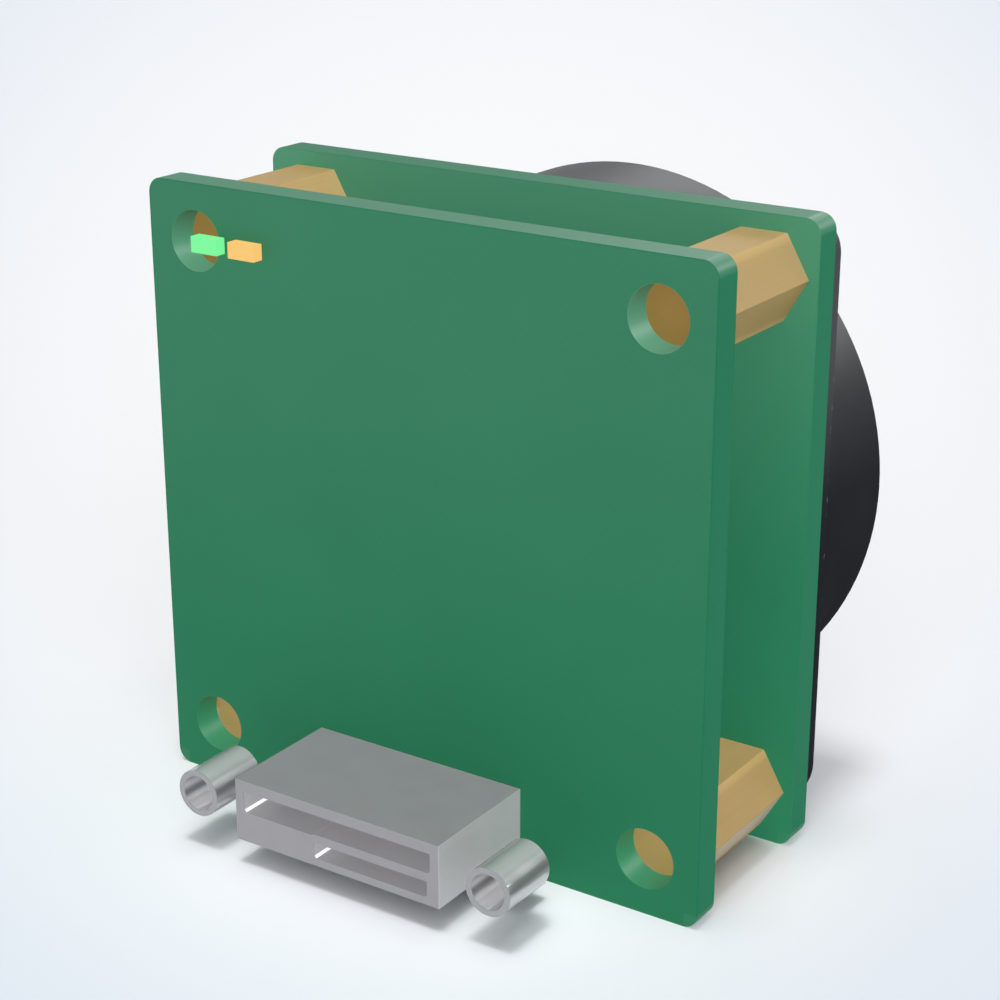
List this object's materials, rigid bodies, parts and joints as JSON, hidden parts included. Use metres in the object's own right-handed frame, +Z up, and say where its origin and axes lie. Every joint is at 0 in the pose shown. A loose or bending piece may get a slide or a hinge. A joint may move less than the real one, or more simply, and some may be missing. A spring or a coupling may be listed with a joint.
{
  "type": "camera module",
  "caption": "Board camera module: two stacked square circuit boards on brass spacers, a round lens mount in front and a locking data socket at the back.",
  "frame": {"origin": "centre of the lens ring's front face, on the optical axis", "axes": "+Y along the optical axis, the way the lens looks; +Z up, towards the edge with the indicator lights; +X to the right seen from behind"},
  "size_m": [0.032, 0.0268, 0.032],
  "materials": {
    "solder_mask": "satin green solder mask over glass fibre board",
    "spacer_brass": "turned brass, matt",
    "screw_steel": "black oxide steel",
    "black_anodised": "black anodised aluminium, satin",
    "filter_glass": "coated filter glass",
    "retainer_black": "black anodised aluminium, matt",
    "sensor_ceramic": "unglazed alumina",
    "sensor_silicon": "polished silicon with a faint sheen",
    "cover_glass": "clear coated glass",
    "seal_foam": "black foam rubber",
    "socket_steel": "plated steel, satin",
    "socket_plastic": "black moulded plastic",
    "contact_gold": "gold plated",
    "post_steel": "bright nickel plated",
    "bracket_steel": "tinned sheet steel",
    "led_green": "lit green lens",
    "led_amber": "lit amber lens",
    "link_plastic": "black moulded plastic",
    "chip_epoxy": "black moulded epoxy",
    "can_metal": "plated lid",
    "inductor_ferrite": "grey ferrite",
    "capacitor_ceramic": "brown ceramic with tinned ends"
  },
  "bodies": {
    "root": {"rear_board": "solder_mask", "front_board": "solder_mask", "spacers": "spacer_brass", "front_screws": "screw_steel", "lens_plate": "black_anodised", "lens_ring": "black_anodised", "filter_glass": "filter_glass", "filter_retainer": "retainer_black", "sensor_package": "sensor_ceramic", "sensor_die": "sensor_silicon", "sensor_cover_glass": "cover_glass", "sensor_seal": "seal_foam", "usb_housing": "socket_steel", "usb_insulator": "socket_plastic", "usb_contacts": "contact_gold", "lock_posts": "post_steel", "lock_bracket": "bracket_steel", "led_green": "led_green", "led_amber": "led_amber", "link_socket": "link_plastic", "link_plug": "link_plastic", "link_contacts": "contact_gold", "usb_controller": "chip_epoxy", "frame_memory": "chip_epoxy", "clock_oscillator": "can_metal", "power_inductors": "inductor_ferrite", "power_regulators": "chip_epoxy", "bypass_capacitors": "capacitor_ceramic"}
  },
  "joints": []
}
